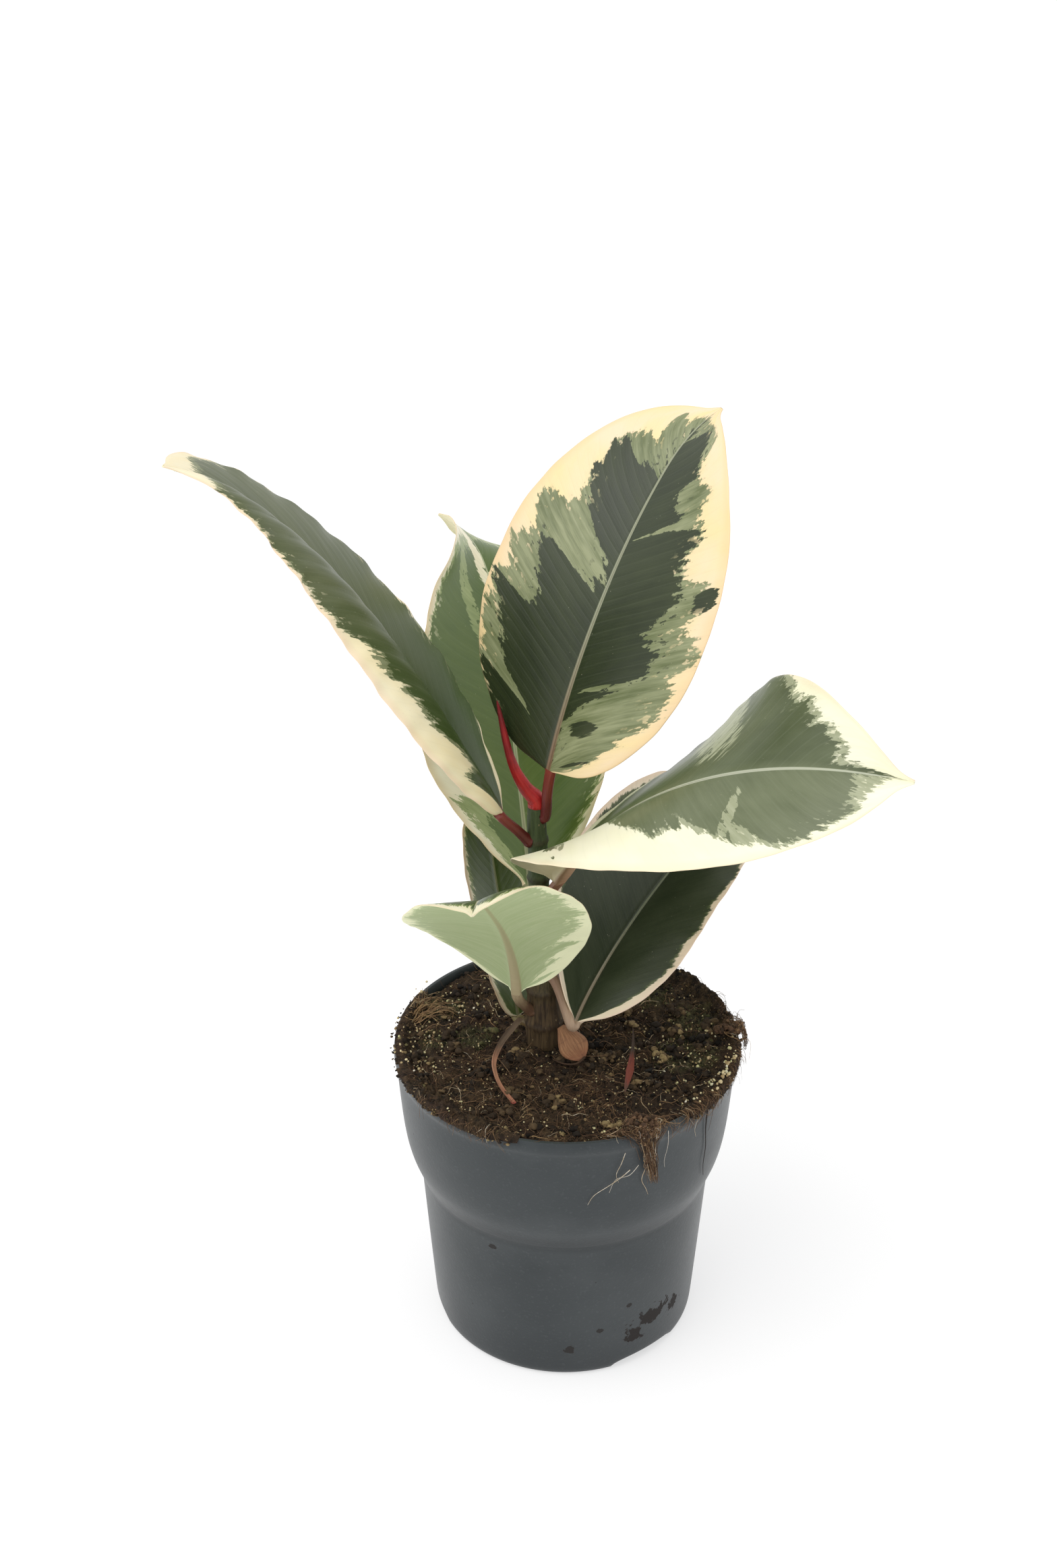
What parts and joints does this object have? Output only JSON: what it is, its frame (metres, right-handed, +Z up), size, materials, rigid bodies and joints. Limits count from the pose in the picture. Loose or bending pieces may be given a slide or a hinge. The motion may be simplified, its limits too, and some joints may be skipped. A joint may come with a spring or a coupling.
{
  "type": "potted rubber plant",
  "caption": "Young variegated rubber fig with broad leathery cream-edged leaves on one stem, growing in peat in a round tapered plastic nursery pot.",
  "frame": {"origin": "middle of the flat disc in the pot's underside, on the surface that the pot stands on", "axes": "+Z up along the pot's axis; -Y is the front, where the small leaf leans out and the right-hand leaf reaches forward; +X is to the right seen from the front"},
  "size_m": [0.2174, 0.1923, 0.3338],
  "materials": {
    "pot_plastic": "satin slate blue-grey thin moulded plastic",
    "peat": "dark brown fibrous peat with pale grains and green moss",
    "stem_bark": "green young bark turning brown and ridged at the foot",
    "red_sheath": "semi-gloss red leaf sheath",
    "leaf": "leathery, semi-gloss, dark green with grey-green patches and cream margins",
    "dry_stipule": "dry papery pinkish brown",
    "root_peat": "matted roots and peat"
  },
  "bodies": {
    "root": {"pot": "pot_plastic", "soil": "peat", "stem": "stem_bark", "bud_sheath": "red_sheath", "leaf_top": "leaf", "leaf_upper_left": "leaf", "leaf_back": "leaf", "leaf_right": "leaf", "leaf_lower_right": "leaf", "leaf_front_small": "leaf", "leaf_back_left": "leaf", "dried_stipule_curly": "dry_stipule", "dried_stipule_papery": "dry_stipule", "dried_stipule_red": "dry_stipule", "root_clump_front": "root_peat", "root_clump_right": "root_peat"}
  },
  "joints": []
}
